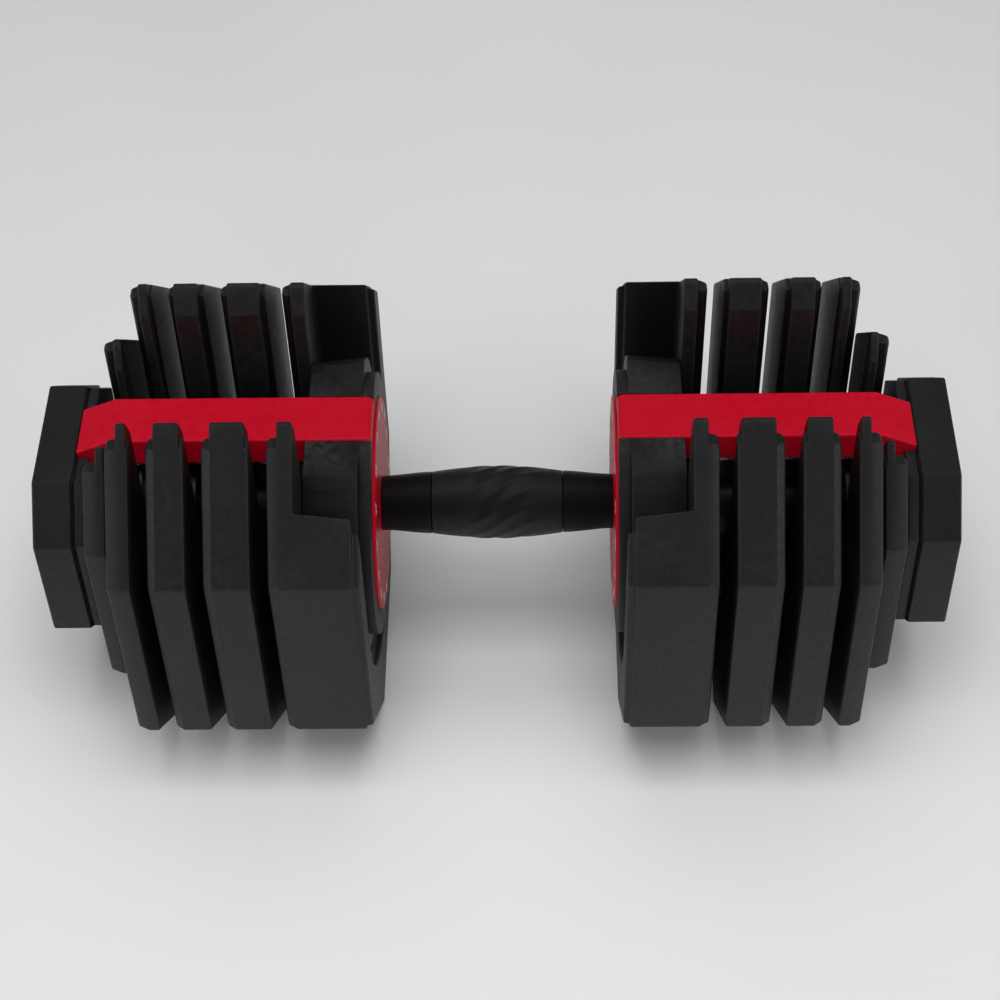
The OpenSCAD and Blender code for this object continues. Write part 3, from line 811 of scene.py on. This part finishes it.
def grip_sleeve():
    """Moulded grip: it swells to its middle, where ridges swirl round it."""
    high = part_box("grip_sleeve")[1]
    half, end_r = high.x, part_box("handle_tube")[1].y
    swell = high.y - RIDGE_H * (1 - GROOVE_SHARE) - end_r
    places = [half * (1 - 2 * i / GRIP_RINGS) for i in range(GRIP_RINGS + 1)]
    profile = [(end_r + swell * (1 - (x / half) ** 2), x) for x in places]
    bm = turned([(GRIP_SEAT_R, half)] + profile + [(GRIP_SEAT_R, -half)], GRIP_STEPS)
    for vert in bm.verts:
        radius = math.hypot(vert.co.y, vert.co.z)
        if radius > (GRIP_SEAT_R + end_r) / 2:
            lift = 1 + grip_ridge(vert.co.x, math.atan2(vert.co.y, vert.co.z)) / radius
            vert.co.y *= lift
            vert.co.z *= lift
    mark_edges(bm, HANDLE_EDGE)
    stand_for(piece(bm, "grip_moulding", HANDLE_EDGE), "grip_sleeve")


# ---------- Bridge covers ----------

def bridge_cover(side):
    """Red channel over the beam: half is raised from its side view, then mirrored across its middle.

    The side view is drawn with the channel's length along Y, and a quarter turn lays it along X.
    """
    low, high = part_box("bridge_cover_right")
    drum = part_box("drum_housing_right")[0].x
    crest, end_z = high.x - BRIDGE_SLOPE, high.z - BRIDGE_DROP
    nose_z, pocket_z = high.z - NOSE_T, high.z - BRIDGE_WALL
    nose = [(drum, low.z), (drum, nose_z), (low.x, nose_z), (low.x, high.z)]
    out = Outline()
    out.add("skin", rounded(nose + [(crest, high.z), (high.x, end_z)], (0, 0, NOSE_FOOT_R, NOSE_R, 0, 0)))
    out.add("pocket", [(high.x, end_z - BRIDGE_WALL), (crest, pocket_z),
                       (drum + BRIDGE_WALL, pocket_z), (drum + BRIDGE_WALL, low.z)])
    out.add("end", [(high.x, low.z)])
    faces = {"skin": out.face("skin", "pocket"), "pocket": out.face("pocket", "end")}
    bm = sheet(out, faces, high.y)
    wall = raised(bm, list(bm.faces), high.y - BRIDGE_WALL, out, first=True)
    middle = raised(bm, only(bm, wall, faces, ("skin",)), 0.0, out)
    bmesh.ops.delete(bm, geom=middle, context="FACES_ONLY")
    bmesh.ops.mirror(bm, geom=bm.verts[:] + bm.edges[:] + bm.faces[:], axis="X", merge_dist=SAME_PLACE)
    bmesh.ops.rotate(bm, cent=(0, 0, 0), matrix=Matrix.Rotation(-math.pi / 2, 3, "Z"), verts=bm.verts)
    closed(bm)
    mark_edges(bm, BRIDGE_EDGE)
    stand_for(piece(on_side(bm, side), f"bridge_channel_{side}", BRIDGE_EDGE), f"bridge_cover_{side}")


# ---------- End weights ----------

def octagon(half_w, half_h, leg, g):
    """Rounded octagon with its walls moved in by g."""
    facet = half_w + half_h - leg - g * math.sqrt(2)
    side, foot = half_w - g, half_h - g
    quarter = [(side, facet - side), (facet - foot, foot)]
    corners = quarter + across(quarter)
    corners += [(-y, -z) for y, z in corners]
    return rounded(corners, [END_CORNER_R] * len(corners))


def end_cover(side):
    """Shell over the end weight, open towards its backing plate."""
    low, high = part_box("end_cover_right")
    out = Outline()
    out.add("outside", octagon(high.y, high.z, END_LEG, 0))
    out.add("inside", octagon(high.y, high.z, END_LEG, END_WALL))
    outside, inside = out.face("outside"), out.face("inside")
    faces = {"inside": inside}
    for i, place in enumerate(outside):
        faces[f"wall_{i}"] = [outside[i - 1], place, inside[i], inside[i - 1]]
    bm = sheet(out, faces, high.x - END_WALL)
    base = list(bm.faces)
    raised(bm, base, high.x, out, first=True)
    walls = [name for name in faces if name != "inside"]
    raised(bm, only(bm, base, faces, walls), low.x, out)
    closed(bm, joined=False)
    mark_edges(bm, END_EDGE)
    stand_for(piece(on_side(bm, side), f"end_shell_{side}", END_EDGE), f"end_cover_{side}")


# ---------- Stage ----------

def make_floor():
    """Pale floor that the plates stand on."""
    bm = bmesh.new()
    bmesh.ops.create_grid(bm, x_segments=1, y_segments=1, size=FLOOR_REACH)
    bmesh.ops.translate(bm, vec=(0, 0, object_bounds()[0].z), verts=bm.verts)
    obj = piece(bm, "floor")
    obj.data.materials.append(pale_floor())


def soft_light(name, at, size, power, mirrored_in_gloss=True):
    """A large square light that points at the dumbbell; its power is in watts."""
    data = bpy.data.lights.new(name, "AREA")
    data.shape = "SQUARE"
    data.size = size
    data.energy = power
    light = bpy.data.objects.new(name, data)
    light.location = at
    light.rotation_euler = (-Vector(at)).to_track_quat("-Z", "Y").to_euler()
    light.visible_glossy = mirrored_in_gloss
    bpy.context.scene.collection.objects.link(light)


def make_light():
    """Low side lights, a soft one overhead, a fill from high in front and a dim room."""
    world = bpy.data.worlds.new("studio")
    world.use_nodes = True
    background = world.node_tree.nodes["Background"]
    background.inputs["Color"].default_value = grey(1.0)
    background.inputs["Strength"].default_value = ROOM_LIGHT
    bpy.context.scene.world = world
    soft_light("left", (-1.5, -0.6, 0.65), 1.0, 8)
    soft_light("right", (1.5, -0.6, 0.65), 1.0, 8)
    soft_light("overhead", (0, 0.3, 1.9), 1.5, 7)
    soft_light("fill", (0, -0.55, 1.7), 1.0, 18, mirrored_in_gloss=False)
    bpy.context.scene.view_settings.view_transform = "Standard"


make_camera()
silver = silver_ink()
finish_cad_nodes()
handle_tube()
grip_sleeve()
for side in SIDES:
    dial(side)
    dial_numbers(side)
    bridge_cover(side)
    end_cover(side)
    softened(f"drum_housing_{side}", HOUSING_EDGE)
    softened(f"drum_cover_{side}", DRUM_COVER_EDGE)
    softened(f"end_backing_{side}", BACKING_EDGE)
    for k in PLATES:
        plate_cover(k, side)
make_floor()
make_light()
